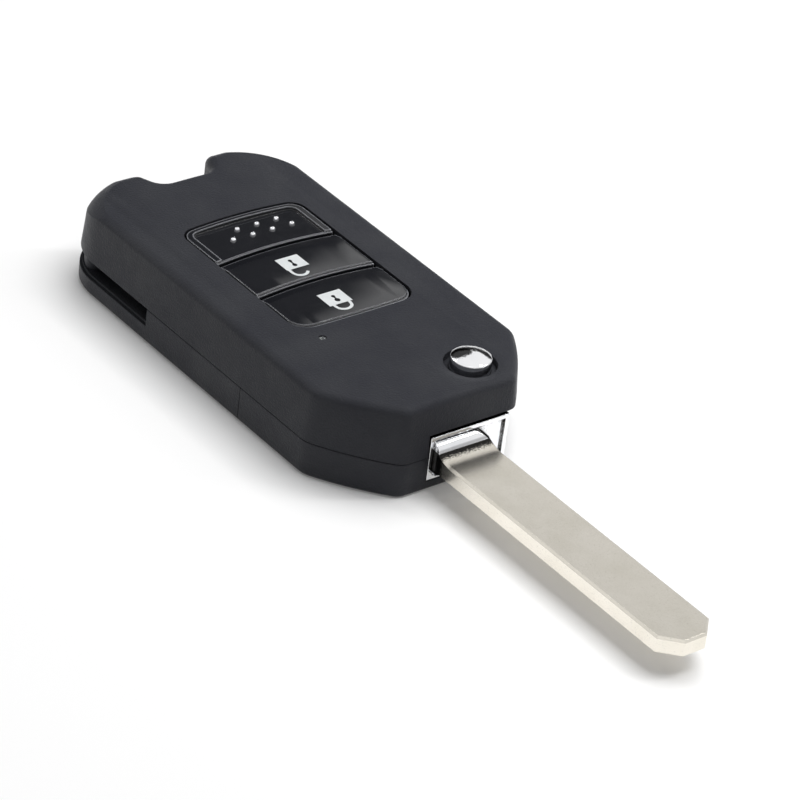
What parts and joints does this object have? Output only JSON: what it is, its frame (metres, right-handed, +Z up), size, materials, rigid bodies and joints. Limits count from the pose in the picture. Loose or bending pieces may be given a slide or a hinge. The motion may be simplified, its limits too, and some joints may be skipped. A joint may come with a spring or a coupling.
{
  "type": "folding car key fob",
  "caption": "Car key fob with a folding blade: a black case with a push button that lets the blade swing out, and a gloss panel of remote buttons.",
  "frame": {"origin": "middle of the case's flat underside", "axes": "+X along the unfolded blade towards its tip, +Z up out of the button panel, -Y towards the key-ring slot"},
  "size_m": [0.1193, 0.035, 0.015],
  "materials": {
    "case_plastic": "matte black moulded ABS with a fine texture",
    "panel_plastic": "high gloss black",
    "dot_silver": "small polished domes",
    "blade_nickel": "satin nickel",
    "head_chrome": "bright chrome plate",
    "button_chrome": "bright chrome plate",
    "spring_steel": "plain drawn wire",
    "screw_steel": "zinc plated",
    "board_laminate": "green solder mask",
    "switch_metal": "tinned sheet",
    "switch_plastic": "black nylon",
    "cell_steel": "nickel plated can",
    "contact_metal": "plated spring brass",
    "chip_resin": "black epoxy",
    "can_metal": "plated can",
    "coil_ferrite": "dark ferrite and varnished wire",
    "led_resin": "clear over white",
    "pipe_clear": "clear light pipe",
    "transponder_carbon": "black moulded block"
  },
  "bodies": {
    "case": {"upper_shell": "case_plastic", "battery_cover": "case_plastic", "hinge_housing": "case_plastic", "flip_spring": "spring_steel", "blank_panel": "panel_plastic", "panel_dots": "dot_silver", "circuit_board": "board_laminate", "unlock_switch": "switch_metal", "lock_switch": "switch_metal", "coin_cell": "cell_steel", "negative_clip": "contact_metal", "positive_clip": "contact_metal", "control_chip": "chip_resin", "crystal_can": "can_metal", "antenna_coil": "coil_ferrite", "status_led": "led_resin", "light_pipe": "pipe_clear", "transponder_chip": "transponder_carbon", "cover_screw": "screw_steel", "housing_screw": "screw_steel"},
    "blade_arm": {"blade": "blade_nickel", "blade_head": "head_chrome", "blade_roll_pin": "screw_steel"},
    "release": {"release_button": "button_chrome"},
    "unlock": {"unlock_button": "panel_plastic", "unlock_switch_stem": "switch_plastic"},
    "lock": {"lock_button": "panel_plastic", "lock_switch_stem": "switch_plastic"}
  },
  "joints": [
    {"name": "blade_flip", "type": "hinge", "parent": "case", "child": "blade_arm", "pos_m": [0.0289, 0.0059, 0.005], "axis": [0, 0, 1], "range_deg": [0, 180]},
    {"name": "release_press", "type": "slide", "parent": "case", "child": "release", "axis": [0, 0, -1], "range_m": [0, 0.001], "stiffness_N_per_m": 300, "deforming": ["flip_spring"]},
    {"name": "unlock_press", "type": "slide", "parent": "case", "child": "unlock", "axis": [0, 0, -1], "range_m": [0, 0.0005], "stiffness_N_per_m": 300},
    {"name": "lock_press", "type": "slide", "parent": "case", "child": "lock", "axis": [0, 0, -1], "range_m": [0, 0.0005], "stiffness_N_per_m": 300}
  ]
}
